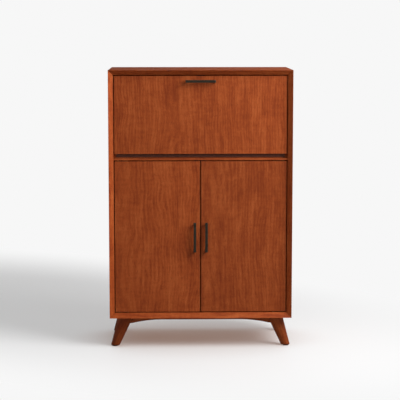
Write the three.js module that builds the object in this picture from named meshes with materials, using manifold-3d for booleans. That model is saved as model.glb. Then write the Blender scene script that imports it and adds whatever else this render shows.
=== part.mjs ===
import * as THREE from 'three';
import { mergeVertices } from 'three/addons/utils/BufferGeometryUtils.js';
import Module from 'manifold-3d';

// A bar cabinet on splayed legs: a flap at the top folds down into a serving shelf,
// and two doors below close a cupboard for bottles.
// Millimetres, +Z up, front towards -Y. The origin is on the floor under the middle of the case.

// Case
const overallWidth = 914;
const overallDepth = 457;
const overallHeight = 1397;
const legHeight = 154;
const boardThickness = 24;
const grooveDepth = 8;
const backThickness = 6;
const backInset = 10;

// Clearances
const seatGap = 0.3;
const runGap = 0.4;
const overrun = 5;

// Fronts: the flap and the doors lie inside the bevelled frame
const frontThickness = 19;
const frontGap = 4;
const frontSetBack = 3;

// Folding shelf and the divider under it
const flapHeight = 390;
const openFlapClearance = 1;
const railThickness = 10;
const railDepth = 70;

// Long hinge of the flap
const hingeEndClearance = 13;
const hingeKnuckleRadius = 2.75;
const hingePinRadius = 1.25;
const hingeLeafThickness = 1.2;
const hingeLeafGap = 0.3;
const hingeLeafWidth = 16;
const hingeKnuckleCount = 25;

// Sliding stays of the flap
const stayRadius = 180;
const stayGuideAngle = THREE.MathUtils.degToRad(20);
const flapOpenAngle = THREE.MathUtils.degToRad(90);
const stayPivotHeight = 12;
const stayPlateThickness = 2;
const stayPlateLength = 46;
const stayPlateHeight = 26;
const stayStudRadius = 3;
const stayHubRadius = 10;
const stayHubThickness = 6;
const stayChannelWall = 2;
const stayChannelLength = 16;
const stayArmThickness = 3;
const stayArmHeight = 12;
const stayStopRadius = 3;
const stayStopReach = 2.5;
const stayStopClearance = 1;
const stayPinRadius = 2.5;
const stayPinHeadRadius = 4.5;
const stayPinHeadThickness = 1.5;
const flapBracketThickness = 2;
const flapBracketLength = 40;
const flapBracketWidth = 20;
const flapBracketEarRadius = 7;

// Doors and their pivot hinges
const pivotInset = 18;
const pivotLeafThickness = 2.5;
const pivotLeafWidth = 12;
const pivotLeafLength = 60;
const pivotLeafEnd = 9;
const pivotPinRadius = 2.5;
const pivotWasherRadius = 4.5;

// Bar pulls
const pullLength = 150;
const pullWidth = 13;
const pullProjection = 26;
const pullBarThickness = 8;
const pullPostLength = 10;
const pullCornerRadius = 2.5;
const pullEdgeBevel = 0.8;
const pullInset = 27;

// Legs, glides and aprons
const legSplay = THREE.MathUtils.degToRad(19.9);
const legTopRadius = 36.3;
const legFootRadius = 20.7;
const legFootSideInset = 23;
const legCenterDepth = 68;
const glideThickness = 4;
const glideRadius = 15;
const glideEdge = 1.5;
const apronThickness = 22;
const apronEndHeight = 35;
const apronMiddleHeight = 18;
const apronCurveLength = 150;

// Inside: partition, shelf and shelf pins
const partitionThickness = 18;
const partitionSetBack = 18;
const shelfThickness = 18;
const shelfSetBack = 34;
const shelfSideGap = 2;
const shelfEdgeRadius = 3;
const pinRowMiddleHeight = 406;
const pinRowPitch = 32;
const pinRowCount = 5;
const pinColumnInset = 60;
const pinRadius = 2.5;
const pinPlugLength = 9;
const pinHoleDepth = 11;
const pinCollarRadius = 5;
const pinCollarThickness = 1.4;
const pinRestRadius = 3;
const pinRestLength = 9;

// Stemware rails under the top
const stemwareRackCenter = -190;
const stemwarePitch = 116;
const stemwareWebThickness = 16;
const stemwareWebHeight = 24;
const stemwareFlangeReach = 34;
const stemwareFlangeThickness = 8;
const stemwareEdgeRadius = 3;
const stemwareSetBack = 42;
const stemwareBackClearance = 52.4;

// Bottle rails
const bottleCount = 4;
const bottleRowCount = 2;
const bottleRowPitch = 128;
const bottleFirstAxisHeight = 64;
const bottleRailThickness = 18;
const bottleRailHeight = 46;
const bottleBodyRadius = 41;
const bottleNeckRadius = 18;
const bottleBodyRailDrop = 14;
const bottleNeckRailDrop = 2;
const neckRailSetBack = 70;
const bottleRailSpacing = 170;

// Magnetic catches
const catchDepth = 13;
const catchHeight = 14;
const doorCatchWidth = 64;
const flapCatchWidth = 44;
const catchEdge = 3;
const magnetWidth = 16;
const magnetHeight = 8;
const magnetReach = 0.6;
const magnetDrop = 10;
const strikeThickness = 1.2;
const strikeWidth = 22;
const strikeHeight = 10;
const strikeInset = 16;
const catchGap = 0.4;

// Numbers of faces on round work
const fineSegments = 32;
const midSegments = 20;
const smallSegments = 12;
const curveSegments = 8;

// Places that follow from the sizes
const frontY = -overallDepth / 2;
const backY = overallDepth / 2;
const innerHalfWidth = overallWidth / 2 - boardThickness;
const caseHeight = overallHeight - legHeight;
const caseFloorZ = legHeight + boardThickness;
const caseCeilingZ = overallHeight - boardThickness;
const caseMiddleZ = (legHeight + overallHeight) / 2;
const backPanelBackY = backY - backInset - seatGap;
const backPanelFrontY = backPanelBackY - backThickness;
const insideBackY = backPanelFrontY - seatGap;
const frontFaceY = frontY + boardThickness + frontSetBack;
const frontInnerY = frontFaceY + frontThickness;
const shelfLevel = caseCeilingZ - frontGap - flapHeight;
const hingeSeat = hingeLeafGap + hingeLeafThickness + seatGap;
const barFloorFrontY = frontInnerY + hingeSeat;
const railTopZ = shelfLevel - frontThickness - openFlapClearance;
const railBottomZ = railTopZ - railThickness;
const railBackY = frontFaceY + railDepth;
const barFloorBottomZ = railTopZ + seatGap;
const flapHalfWidth = innerHalfWidth - frontGap;
const hingeLength = 2 * (innerHalfWidth - hingeEndClearance);
const doorBottomZ = caseFloorZ + frontGap;
const doorHeight = railBottomZ - frontGap - doorBottomZ;
const doorWidth = (2 * innerHalfWidth - 3 * frontGap) / 2;
const doorPivotX = innerHalfWidth - frontGap - pivotInset;
const doorPivotY = frontFaceY + frontThickness / 2;
const partitionFrontY = frontInnerY + partitionSetBack;
const partitionFaceX = partitionThickness / 2;
const stemwareFrontY = frontInnerY + stemwareSetBack;
const stemwareLength = insideBackY - stemwareBackClearance - stemwareFrontY;
const legFootX = overallWidth / 2 - legFootSideInset;
const legTopX = legFootX - legHeight * Math.tan(legSplay);
const legFrontY = frontY + legCenterDepth;
const legBackY = backY - legCenterDepth;

const wasm = await Module();
wasm.setup();

// A closed geometry as a solid for cutting and joining
function solidOf(geometry) {
  const bare = geometry.clone();
  bare.deleteAttribute('normal');
  bare.deleteAttribute('uv');
  const merged = mergeVertices(bare);
  const corners = merged.index.array;
  const kept = [];
  for (let i = 0; i < corners.length; i += 3) {
    const [a, b, c] = corners.slice(i, i + 3);
    if (a !== b && b !== c && c !== a) kept.push(a, b, c);
  }
  const vertProperties = new Float32Array(merged.attributes.position.array);
  const triVerts = new Uint32Array(kept);
  const solid = new wasm.Manifold(new wasm.Mesh({ numProp: 3, vertProperties, triVerts }));
  if (solid.volume() > 0) return solid;
  return new wasm.Manifold(new wasm.Mesh({ numProp: 3, vertProperties, triVerts: triVerts.reverse() }));
}

function geometryOf(solid) {
  const mesh = solid.getMesh();
  const geometry = new THREE.BufferGeometry();
  geometry.setAttribute('position', new THREE.BufferAttribute(mesh.vertProperties, 3));
  geometry.setIndex(new THREE.BufferAttribute(mesh.triVerts, 1));
  geometry.computeVertexNormals();
  return geometry;
}

function join(...geometries) {
  return geometryOf(geometries.map(solidOf).reduce((whole, piece) => whole.add(piece)));
}

function cut(geometry, ...cutters) {
  return geometryOf(cutters.map(solidOf).reduce((whole, cutter) => whole.subtract(cutter), solidOf(geometry)));
}

function keepInside(geometry, limit) {
  return geometryOf(solidOf(geometry).intersect(solidOf(limit)));
}

// A box given by its ranges along X, Y and Z
function block([x0, x1], [y0, y1], [z0, z1]) {
  const box = new THREE.BoxGeometry(x1 - x0, y1 - y0, z1 - z0);
  return box.translate((x0 + x1) / 2, (y0 + y1) / 2, (z0 + z1) / 2);
}

// The range from -half to +half
function about(half, middle = 0) {
  return [middle - half, middle + half];
}

function outline(points) {
  return new THREE.Shape(points.map(([a, b]) => new THREE.Vector2(a, b)));
}

// An outline in X and Y, raised along Z
function raiseZ(shape, [z0, z1]) {
  const options = { depth: z1 - z0, bevelEnabled: false, curveSegments };
  return new THREE.ExtrudeGeometry(shape, options).translate(0, 0, z0);
}

// An outline in X and Z, carried along Y
function raiseY(shape, [y0, y1]) {
  return raiseZ(shape, [0, y1 - y0]).rotateX(Math.PI / 2).translate(0, y1, 0);
}

// An outline in Y and Z, carried along X
function raiseX(shape, [x0, x1]) {
  return raiseZ(shape, [0, x1 - x0]).rotateX(Math.PI / 2).rotateZ(Math.PI / 2).translate(x0, 0, 0);
}

// A profile of [radius, height] pairs turned about Z
function turned(profile, segments) {
  const points = profile.map(([radius, height]) => new THREE.Vector2(radius, height));
  return new THREE.LatheGeometry(points, segments).rotateX(Math.PI / 2);
}

function rodZ(radius, [z0, z1], segments) {
  return turned([[0, z0], [radius, z0], [radius, z1], [0, z1]], segments);
}

function rodX(radius, range, segments) {
  return rodZ(radius, range, segments).rotateY(Math.PI / 2);
}

// A slot shape: two half circles round (start, 0) and (end, 0), joined by straight sides
function slotShape(start, end, radius) {
  const shape = new THREE.Shape();
  shape.absarc(end, 0, radius, -Math.PI / 2, Math.PI / 2, false);
  shape.absarc(start, 0, radius, Math.PI / 2, 3 * Math.PI / 2, false);
  return shape;
}

function mirroredX(geometry) {
  const mirrored = geometry.clone().scale(-1, 1, 1);
  mirrored.setIndex(Array.from(mirrored.index.array).reverse());
  mirrored.computeVertexNormals();
  return mirrored;
}

// Finishes
function walnutStain() {
  return new THREE.MeshStandardMaterial({ color: 0x92462a, roughness: 0.5, metalness: 0 });
}

function darkLegStain() {
  return new THREE.MeshStandardMaterial({ color: 0x67341f, roughness: 0.5, metalness: 0 });
}

function darkBronze() {
  return new THREE.MeshStandardMaterial({ color: 0x35322c, roughness: 0.45, metalness: 0.8 });
}

function antiqueBrass() {
  return new THREE.MeshStandardMaterial({ color: 0x9a7b45, roughness: 0.4, metalness: 1 });
}

function zincSteel() {
  return new THREE.MeshStandardMaterial({ color: 0xa9abad, roughness: 0.35, metalness: 1 });
}

function blackNylon() {
  return new THREE.MeshStandardMaterial({ color: 0x1c1a18, roughness: 0.7, metalness: 0 });
}

function place(parent, name, geometry, material, [x, y, z] = [0, 0, 0]) {
  const mesh = new THREE.Mesh(geometry, material);
  mesh.name = name;
  mesh.position.set(x, y, z);
  parent.add(mesh);
  return mesh;
}

function groupAt(parent, [x, y, z]) {
  const group = new THREE.Group();
  group.position.set(x, y, z);
  parent.add(group);
  return group;
}

const cabinet = new THREE.Group();

// Case boards. In its own frame a board lies along X with its outer face at z = 0 and its inner face up.
// Both ends are mitred, the front edge slopes at 45 degrees and a groove behind takes the back panel.
function caseBoard(length, extraCutters) {
  const halfOuter = length / 2 - seatGap / Math.SQRT2;
  const halfInner = halfOuter - boardThickness;
  const mitred = outline([
    [-halfOuter, 0], [halfOuter, 0], [halfInner, boardThickness], [-halfInner, boardThickness],
  ]);
  const along = about(length / 2 + overrun);
  const bevel = outline([
    [frontY - overrun, -overrun],
    [frontY + boardThickness + overrun, boardThickness + overrun],
    [frontY - overrun, boardThickness + overrun],
  ]);
  const grooveY = [backPanelFrontY - seatGap, backPanelBackY + seatGap];
  const grooveZ = [boardThickness - grooveDepth, boardThickness + overrun];
  const board = raiseY(mitred, [frontY, backY]);
  return cut(board, raiseX(bevel, along), block(along, grooveY, grooveZ), ...extraCutters);
}

// The housing that a pivot leaf is let into, in the leaf's own frame
function leafHousing() {
  const half = pivotLeafWidth / 2;
  const shape = slotShape(half - pivotLeafEnd, pivotLeafLength - pivotLeafEnd - half, half + seatGap);
  return raiseZ(shape, [-pivotLeafThickness - seatGap, overrun]);
}

// Heights of the shelf pin rows above the floor, and the depth of their two columns
const pinRowsZ = Array.from({ length: pinRowCount }, (_, i) => {
  return caseFloorZ + pinRowMiddleHeight + (i - (pinRowCount - 1) / 2) * pinRowPitch;
});
const shelfPinZ = pinRowsZ[(pinRowCount - 1) / 2];
const shelfFrontY = frontInnerY + shelfSetBack;
const pinColumnsY = [shelfFrontY + pinColumnInset, insideBackY - pinColumnInset];

function pinHolesAt(holeAt) {
  return pinRowsZ.flatMap((z) => pinColumnsY.map((y) => holeAt(y, z)));
}

function buildBottomBoard() {
  const inner = [doorPivotX, doorPivotY, boardThickness];
  const rightHousing = leafHousing().rotateZ(Math.PI).translate(...inner);
  const leftHousing = leafHousing().translate(-inner[0], inner[1], inner[2]);
  const board = caseBoard(overallWidth, [leftHousing, rightHousing]);
  place(cabinet, 'bottom_board', board, walnutStain(), [0, 0, legHeight]);
}

function buildTopBoard() {
  const mesh = place(cabinet, 'top_board', caseBoard(overallWidth, []), walnutStain(), [0, 0, overallHeight]);
  mesh.rotation.y = Math.PI;
}

function buildSides() {
  const holeZ = [boardThickness - pinHoleDepth, boardThickness + overrun];
  const holes = pinHolesAt((y, z) => {
    return rodZ(pinRadius + seatGap, holeZ, smallSegments).translate(caseMiddleZ - z, y, 0);
  });
  const left = place(cabinet, 'left_side', caseBoard(caseHeight, holes), walnutStain());
  left.position.set(-overallWidth / 2, 0, caseMiddleZ);
  left.rotation.y = Math.PI / 2;
  const right = place(cabinet, 'right_side', caseBoard(caseHeight, []), walnutStain());
  right.position.set(overallWidth / 2, 0, caseMiddleZ);
  right.rotation.y = -Math.PI / 2;
}

function buildBackPanel() {
  const reach = grooveDepth - seatGap;
  const across = about(innerHalfWidth + reach);
  const panel = block(across, [backPanelFrontY, backPanelBackY], [caseFloorZ - reach, caseCeilingZ + reach]);
  place(cabinet, 'back_panel', panel, walnutStain());
}

// The relief in the wood that clears the knuckles of the long hinge, about the hinge axis
function knuckleRelief() {
  return rodX(hingeKnuckleRadius + runGap, about(innerHalfWidth + overrun), smallSegments);
}

function buildBarFloor() {
  const across = about(innerHalfWidth - seatGap);
  const floor = block(across, [barFloorFrontY, insideBackY], [barFloorBottomZ, shelfLevel]);
  const relief = knuckleRelief().translate(0, frontInnerY, shelfLevel);
  place(cabinet, 'bar_floor', cut(floor, relief), walnutStain());
}

function buildDividerRail() {
  const across = about(innerHalfWidth - seatGap);
  const rail = block(across, [frontFaceY, railBackY], [railBottomZ, railTopZ]);
  const left = leafHousing().rotateX(Math.PI).translate(-doorPivotX, doorPivotY, railBottomZ);
  const right = leafHousing().rotateY(Math.PI).translate(doorPivotX, doorPivotY, railBottomZ);
  place(cabinet, 'divider_rail', cut(rail, left, right), walnutStain());
}

// The upright between the two cupboards stands behind the doors and is notched round the rail
function buildPartition() {
  const notchY = railBackY + seatGap;
  const notchZ = railBottomZ - seatGap;
  const side = outline([
    [partitionFrontY, caseFloorZ + seatGap],
    [insideBackY, caseFloorZ + seatGap],
    [insideBackY, barFloorBottomZ - seatGap],
    [notchY, barFloorBottomZ - seatGap],
    [notchY, notchZ],
    [partitionFrontY, notchZ],
  ]);
  const holeX = [-partitionFaceX - overrun, pinHoleDepth - partitionFaceX];
  const holes = pinHolesAt((y, z) => rodX(pinRadius + seatGap, holeX, smallSegments).translate(0, y, z));
  const partition = raiseX(side, about(partitionThickness / 2));
  place(cabinet, 'center_partition', cut(partition, ...holes), walnutStain());
}

// The adjustable shelf of the left cupboard has a rounded front edge and lies on four pins
function buildLowerShelf() {
  const bottomZ = shelfPinZ + pinRestRadius + seatGap;
  const topZ = bottomZ + shelfThickness;
  const r = shelfEdgeRadius;
  const side = new THREE.Shape();
  side.moveTo(insideBackY - seatGap, topZ);
  side.absarc(shelfFrontY + r, topZ - r, r, Math.PI / 2, Math.PI, false);
  side.absarc(shelfFrontY + r, bottomZ + r, r, Math.PI, 3 * Math.PI / 2, false);
  side.lineTo(insideBackY - seatGap, bottomZ);
  const across = [-innerHalfWidth + shelfSideGap, -partitionFaceX - shelfSideGap];
  place(cabinet, 'lower_shelf', raiseX(side, across), walnutStain());
}

// A shelf pin, with its collar's back at x = 0 and its plug towards -X
function shelfPin() {
  const collarEnd = seatGap + pinCollarThickness;
  const profile = [
    [0, -pinPlugLength], [pinRadius, -pinPlugLength], [pinRadius, seatGap], [pinCollarRadius, seatGap],
    [pinCollarRadius, collarEnd], [pinRestRadius, collarEnd],
    [pinRestRadius, collarEnd + pinRestLength], [0, collarEnd + pinRestLength],
  ];
  return turned(profile, smallSegments).rotateY(Math.PI / 2);
}

function buildShelfPins() {
  const [frontPinY, backPinY] = pinColumnsY;
  for (const [word, y] of [['front', frontPinY], ['back', backPinY]]) {
    place(cabinet, `shelf_pin_left_${word}`, shelfPin(), antiqueBrass(), [-innerHalfWidth, y, shelfPinZ]);
    const right = place(cabinet, `shelf_pin_right_${word}`, shelfPin(), antiqueBrass());
    right.position.set(-partitionFaceX, y, shelfPinZ);
    right.rotation.z = Math.PI;
  }
}

// Legs. In its own frame a left leg stands with the middle of its foot at the origin and leans towards +X.
function legCone(extra) {
  const taper = (legTopRadius - legFootRadius) / (legHeight / Math.cos(legSplay));
  const below = legTopRadius;
  const length = legHeight / Math.cos(legSplay);
  const profile = [
    [0, -below], [legFootRadius - taper * below + extra, -below],
    [legTopRadius + taper * below + extra, length + below], [0, length + below],
  ];
  return turned(profile, fineSegments).rotateY(legSplay);
}

function leg() {
  const reach = legHeight + legTopRadius;
  const slab = block(about(reach), about(reach), [glideThickness + seatGap, legHeight - seatGap]);
  return keepInside(legCone(0), slab);
}

function glide() {
  const profile = [
    [0, 0], [glideRadius - glideEdge, 0], [glideRadius, glideEdge], [glideRadius, glideThickness], [0, glideThickness],
  ];
  return turned(profile, midSegments);
}

function buildLegs() {
  for (const [depthWord, y] of [['front', legFrontY], ['back', legBackY]]) {
    for (const [sideWord, side] of [['left', -1], ['right', 1]]) {
      const stand = groupAt(cabinet, [side * legFootX, y, 0]);
      stand.rotation.z = side > 0 ? Math.PI : 0;
      place(stand, `leg_${depthWord}_${sideWord}`, leg(), darkLegStain());
      place(stand, `glide_${depthWord}_${sideWord}`, glide(), blackNylon());
    }
  }
}

// An apron joins each pair of legs. Its lower edge runs straight and curves down to each leg,
// and its ends are scribed to the round legs.
function apronOutline() {
  const topZ = legHeight - seatGap;
  const middleZ = legHeight - apronMiddleHeight;
  const rise = apronEndHeight - apronMiddleHeight;
  const radius = (apronCurveLength ** 2 + rise ** 2) / (2 * rise);
  const sweep = Math.asin(apronCurveLength / radius);
  const endX = legTopX - legTopRadius;
  const curveX = endX - apronCurveLength;
  const flare = (endX + legTopRadius - curveX) / apronCurveLength;
  const shape = new THREE.Shape();
  shape.moveTo(-legTopX, topZ);
  shape.lineTo(-legTopX, middleZ - rise * flare);
  shape.lineTo(-endX, middleZ - rise);
  shape.absarc(-curveX, middleZ - radius, radius, Math.PI / 2 + sweep, Math.PI / 2, true);
  shape.absarc(curveX, middleZ - radius, radius, Math.PI / 2, Math.PI / 2 - sweep, true);
  shape.lineTo(legTopX, middleZ - rise * flare);
  shape.lineTo(legTopX, topZ);
  return shape;
}

function buildAprons() {
  for (const [word, y] of [['front_apron', legFrontY], ['back_apron', legBackY]]) {
    const blank = raiseY(apronOutline(), about(apronThickness / 2));
    const leftScribe = legCone(seatGap).translate(-legFootX, 0, 0);
    const rightScribe = legCone(seatGap).rotateZ(Math.PI).translate(legFootX, 0, 0);
    place(cabinet, word, cut(blank, leftScribe, rightScribe), darkLegStain(), [0, y, 0]);
  }
}

// A bar pull lies along X with its two posts on a face at y = 0 and its bar towards -Y
function barPull() {
  const half = pullLength / 2;
  const r = pullCornerRadius;
  const barBackY = pullBarThickness - pullProjection;
  const shape = new THREE.Shape();
  shape.moveTo(-half, -seatGap);
  shape.absarc(r - half, r - pullProjection, r, Math.PI, 3 * Math.PI / 2, false);
  shape.absarc(half - r, r - pullProjection, r, 3 * Math.PI / 2, 2 * Math.PI, false);
  shape.lineTo(half, -seatGap);
  shape.lineTo(half - pullPostLength, -seatGap);
  shape.lineTo(half - pullPostLength, barBackY);
  shape.lineTo(pullPostLength - half, barBackY);
  shape.lineTo(pullPostLength - half, -seatGap);
  const options = {
    depth: pullWidth - 2 * pullEdgeBevel, bevelEnabled: true, bevelSize: pullEdgeBevel,
    bevelThickness: pullEdgeBevel, bevelOffset: -pullEdgeBevel, bevelSegments: 1, curveSegments: 3,
  };
  return new THREE.ExtrudeGeometry(shape, options).translate(0, 0, pullEdgeBevel - pullWidth / 2);
}

// Flap. Its group stands on the hinge axis, with the flap's inner face at y = 0.
const flapGroup = groupAt(cabinet, [0, frontInnerY, shelfLevel]);

function buildFlap() {
  const panel = block(about(flapHalfWidth), [-frontThickness, 0], [hingeSeat, flapHeight]);
  place(flapGroup, 'flap_panel', cut(panel, knuckleRelief()), walnutStain());
  place(flapGroup, 'flap_pull', barPull(), darkBronze(), [0, -frontThickness, flapHeight - pullInset]);
}

// One leaf of the long hinge in its own frame: the axis is X and the leaf hangs down on the +Y side.
// Every second knuckle belongs to it, starting with the first or the second.
function longHingeLeaf(first) {
  const pitch = hingeLength / hingeKnuckleCount;
  const leafY = [hingeLeafGap, hingeLeafGap + hingeLeafThickness];
  const leafTopZ = -hingeKnuckleRadius - runGap;
  const pieces = [block(about(hingeLength / 2), leafY, [-hingeLeafWidth, leafTopZ])];
  for (let i = first; i < hingeKnuckleCount; i += 2) {
    const range = about((pitch - runGap) / 2, (i + 1 / 2) * pitch - hingeLength / 2);
    pieces.push(rodX(hingeKnuckleRadius, range, smallSegments));
    pieces.push(block(range, leafY, [leafTopZ - runGap, 0]));
  }
  const bore = rodX(hingePinRadius + seatGap, about(hingeLength / 2 + overrun), curveSegments);
  return cut(join(...pieces), bore);
}

function buildFlapHinge() {
  place(cabinet, 'flap_hinge_case_leaf', longHingeLeaf(0), darkBronze(), [0, frontInnerY, shelfLevel]);
  const flapLeaf = place(flapGroup, 'flap_hinge_flap_leaf', longHingeLeaf(1), darkBronze());
  flapLeaf.rotation.set(-Math.PI / 2, 0, Math.PI);
  const pin = rodX(hingePinRadius, about(hingeLength / 2), curveSegments);
  place(cabinet, 'flap_hinge_pin', pin, darkBronze(), [0, frontInnerY, shelfLevel]);
}

// Sliding stays. The guide pivot on the case and the arm pivot on the flap lie at one distance from the
// hinge axis, so the line between them turns exactly half as far as the flap does.
const guideY = stayRadius * Math.sin(stayGuideAngle);
const guideZ = stayRadius * Math.cos(stayGuideAngle);
const armPivotY = stayPivotHeight;
const armPivotZ = Math.sqrt(stayRadius ** 2 - stayPivotHeight ** 2);
const closedArmAngle = Math.atan2(guideZ - armPivotZ, guideY - armPivotY);
const closedSpread = stayGuideAngle - Math.atan2(armPivotY, armPivotZ);
const openChord = 2 * stayRadius * Math.sin((closedSpread + flapOpenAngle) / 2);
const stayArmLength = openChord + stayHubRadius + stayStopClearance + stayStopRadius;

// Distances from the middle plane of the arm outwards to the side of the case
const armHalf = stayArmThickness / 2;
const hubInnerX = armHalf + runGap + stayChannelWall;
const hubOuterX = hubInnerX + stayHubThickness;
const plateInnerX = hubOuterX + runGap;
const stayPlaneX = innerHalfWidth - seatGap - stayPlateThickness - plateInnerX;

function stayPlate() {
  const half = stayPlateHeight / 2;
  const reach = stayPlateLength / 2 - half;
  const shape = slotShape(-reach, reach, half);
  const plate = raiseX(shape, [plateInnerX, plateInnerX + stayPlateThickness]);
  const stud = rodX(stayStudRadius, [hubInnerX + seatGap, plateInnerX + stayPlateThickness], midSegments);
  return join(plate, stud);
}

function stayGuide() {
  const hub = rodX(stayHubRadius, [hubInnerX - stayChannelWall, hubOuterX], midSegments);
  const slotHalfZ = stayArmHeight / 2 + runGap;
  const slotHalfX = armHalf + runGap;
  const channelX = [-slotHalfX - stayChannelWall, hubInnerX];
  const channel = block(channelX, about(stayChannelLength / 2), about(slotHalfZ + stayChannelWall));
  const slot = block(about(slotHalfX), about(stayHubRadius + overrun), about(slotHalfZ));
  const bore = rodX(stayStudRadius + runGap, [hubInnerX, hubOuterX + overrun], midSegments);
  return cut(join(hub, channel), slot, bore);
}

function stayArm() {
  const half = stayArmHeight / 2;
  const bar = raiseX(slotShape(0, stayArmLength, half), about(armHalf));
  const stop = rodX(stayStopRadius, about(armHalf + stayStopReach), smallSegments);
  const eye = rodX(stayPinRadius + seatGap, about(armHalf + overrun), smallSegments);
  return cut(join(bar, stop.translate(0, stayArmLength, 0)), eye);
}

function flapBracket() {
  const earX = [armHalf + runGap, armHalf + runGap + flapBracketThickness];
  const baseY = [seatGap - armPivotY, seatGap + flapBracketThickness - armPivotY];
  const base = block([earX[1] - flapBracketWidth, earX[1]], baseY, about(flapBracketLength / 2));
  const ear = raiseX(slotShape(seatGap - armPivotY + flapBracketEarRadius, 0, flapBracketEarRadius), earX);
  const headX = [-armHalf - runGap - stayPinHeadThickness, -armHalf - runGap];
  const pin = rodX(stayPinRadius, [headX[0], earX[1]], smallSegments);
  const head = rodX(stayPinHeadRadius, headX, smallSegments);
  return join(base, ear, pin, head);
}

function buildStays() {
  for (const [word, side] of [['left', -1], ['right', 1]]) {
    const handed = (geometry) => (side > 0 ? geometry : mirroredX(geometry));
    const guidePivot = [side * stayPlaneX, frontInnerY + guideY, shelfLevel + guideZ];
    const armPivot = [side * stayPlaneX, armPivotY, armPivotZ];
    place(cabinet, `stay_plate_${word}`, handed(stayPlate()), antiqueBrass(), guidePivot);
    const guide = place(cabinet, `stay_guide_${word}`, handed(stayGuide()), antiqueBrass(), guidePivot);
    guide.rotation.x = closedArmAngle;
    place(flapGroup, `flap_bracket_${word}`, handed(flapBracket()), antiqueBrass(), armPivot);
    const arm = place(flapGroup, `stay_arm_${word}`, handed(stayArm()), antiqueBrass(), armPivot);
    arm.rotation.x = closedArmAngle;
  }
}

// Doors. Each group stands on its pivot axis at the door's lower edge.
function doorPanel(side) {
  const hingeEdge = side * pivotInset;
  const freeEdge = side * (pivotInset - doorWidth);
  const across = [Math.min(hingeEdge, freeEdge), Math.max(hingeEdge, freeEdge)];
  const panel = block(across, about(frontThickness / 2), [0, doorHeight]);
  const turn = side > 0 ? Math.PI : 0;
  const lower = leafHousing().rotateX(Math.PI).rotateZ(turn);
  const upper = leafHousing().rotateZ(turn).translate(0, 0, doorHeight);
  return cut(panel, lower, upper);
}

// The leaf fixed to the case, with its face at z = 0, carries a thrust washer and the pin
function pivotCaseLeaf() {
  const half = pivotLeafWidth / 2;
  const shape = slotShape(half - pivotLeafEnd, pivotLeafLength - pivotLeafEnd - half, half);
  const leaf = raiseZ(shape, [-pivotLeafThickness, 0]);
  const washer = rodZ(pivotWasherRadius, [-pivotLeafThickness, frontGap - seatGap], midSegments);
  const pin = rodZ(pivotPinRadius, [-pivotLeafThickness, frontGap + pivotLeafThickness - seatGap], smallSegments);
  return join(leaf, washer, pin);
}

// The leaf fixed to the door, with its face at z = 0, has the hole for the pin
function pivotDoorLeaf() {
  const half = pivotLeafWidth / 2;
  const shape = slotShape(half - pivotLeafEnd, pivotLeafLength - pivotLeafEnd - half, half);
  const hole = rodZ(pivotPinRadius + seatGap, about(pivotLeafThickness + overrun), smallSegments);
  return cut(raiseZ(shape, [0, pivotLeafThickness]), hole);
}

function buildDoor(word, side) {
  const door = groupAt(cabinet, [side * doorPivotX, doorPivotY, doorBottomZ]);
  place(door, `${word}_door`, doorPanel(side), walnutStain());
  const pullX = side * (pivotInset - doorWidth + pullInset);
  const pull = place(door, `${word}_door_pull`, barPull(), darkBronze());
  pull.position.set(pullX, -frontThickness / 2, doorHeight / 2);
  pull.rotation.y = Math.PI / 2;
  const turn = side > 0 ? Math.PI : 0;
  const lowerLeaf = place(door, `${word}_hinge_bottom_door_leaf`, pivotDoorLeaf(), antiqueBrass());
  lowerLeaf.rotation.z = turn;
  const upperLeaf = place(door, `${word}_hinge_top_door_leaf`, pivotDoorLeaf(), antiqueBrass());
  upperLeaf.position.z = doorHeight;
  upperLeaf.rotation.set(Math.PI, 0, turn);
  const lowerCase = place(cabinet, `${word}_hinge_bottom_case_leaf`, pivotCaseLeaf(), antiqueBrass());
  lowerCase.position.set(side * doorPivotX, doorPivotY, caseFloorZ);
  lowerCase.rotation.z = turn;
  const upperCase = place(cabinet, `${word}_hinge_top_case_leaf`, pivotCaseLeaf(), antiqueBrass());
  upperCase.position.set(side * doorPivotX, doorPivotY, railBottomZ);
  upperCase.rotation.set(Math.PI, 0, turn);
  const strikeX = side * (pivotInset - doorWidth + strikeInset);
  const strikeZ = railBottomZ - doorBottomZ - seatGap - magnetDrop;
  place(door, `${word}_door_strike`, strike(), zincSteel(), [strikeX, frontThickness / 2, strikeZ]);
}

// A steel strike plate on a face at y = 0, with clipped corners
function strike() {
  const x = strikeWidth / 2;
  const z = strikeHeight / 2;
  const clip = strikeThickness;
  const shape = outline([
    [-x, clip - z], [clip - x, -z], [x - clip, -z], [x, clip - z],
    [x, z - clip], [x - clip, z], [clip - x, z], [-x, z - clip],
  ]);
  return raiseY(shape, [seatGap, seatGap + strikeThickness]);
}

// A magnetic catch hangs under a face at z = 0 with its magnets towards -Y at y = 0
function magneticCatch(width, magnetsX) {
  const half = width / 2;
  const topZ = -seatGap;
  const shape = outline([
    [-half, topZ], [-half, catchEdge - catchHeight], [catchEdge - half, -catchHeight],
    [half - catchEdge, -catchHeight], [half, catchEdge - catchHeight], [half, topZ],
  ]);
  const body = raiseY(shape, [magnetReach, catchDepth]);
  const magnetZ = about(magnetHeight / 2, topZ - magnetDrop + seatGap);
  const magnets = magnetsX.map((x) => block(about(magnetWidth / 2, x), [0, magnetReach + seatGap], magnetZ));
  return join(body, ...magnets);
}

function buildCatches() {
  const faceY = frontInnerY + seatGap + strikeThickness + catchGap;
  const doorMagnet = frontGap / 2 + strikeInset;
  const doorCatch = magneticCatch(doorCatchWidth, [-doorMagnet, doorMagnet]);
  place(cabinet, 'door_catch', doorCatch, blackNylon(), [0, faceY, railBottomZ]);
  place(cabinet, 'flap_catch', magneticCatch(flapCatchWidth, [0]), blackNylon(), [0, faceY, caseCeilingZ]);
  const strikeZ = caseCeilingZ - shelfLevel - seatGap - magnetDrop;
  place(flapGroup, 'flap_strike', strike(), zincSteel(), [0, 0, strikeZ]);
}

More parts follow.
